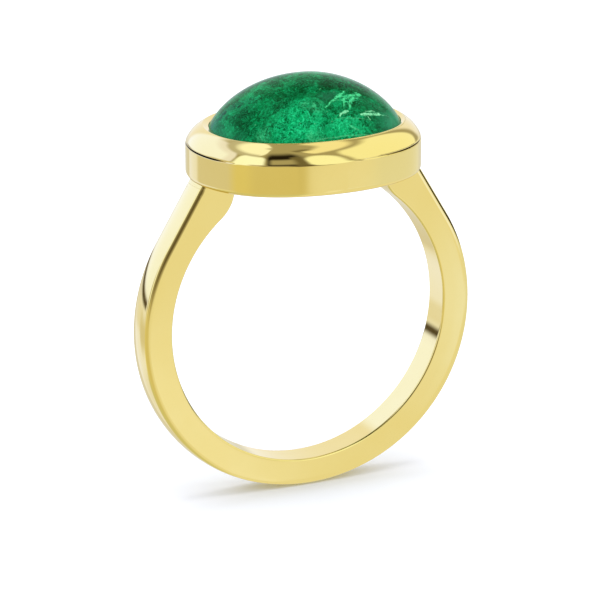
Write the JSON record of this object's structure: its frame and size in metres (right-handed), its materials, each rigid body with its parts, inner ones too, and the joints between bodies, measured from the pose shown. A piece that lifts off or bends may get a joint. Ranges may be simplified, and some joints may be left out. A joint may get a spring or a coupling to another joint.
{
  "type": "cocktail ring",
  "caption": "Finger ring with a high oval green cabochon held in a smooth rubbed-over gold collar on a plain, slightly domed gold band.",
  "frame": {"origin": "centre of the finger hole, halfway across the width of the band", "axes": "+Z from the finger hole towards the stone, +Y along the finger, +X along the long axis of the oval head, across the finger"},
  "size_m": [0.0202, 0.011, 0.024],
  "materials": {
    "polished_gold": "mirror-polished 18 carat yellow gold",
    "inner_gold": "bright 18 carat yellow gold with light tool marks",
    "gold_solder": "thin film of yellow gold solder, dulled by heat",
    "emerald": "polished translucent green emerald with cloudy inclusions"
  },
  "bodies": {
    "root": {"emerald_cabochon": "emerald", "bezel_collar": "polished_gold", "bearing_ring": "inner_gold", "bearing_solder": "gold_solder", "base_plate": "inner_gold", "base_solder": "gold_solder", "shank": "polished_gold", "shoulder_solder_left": "gold_solder", "shoulder_solder_right": "gold_solder"}
  },
  "joints": []
}
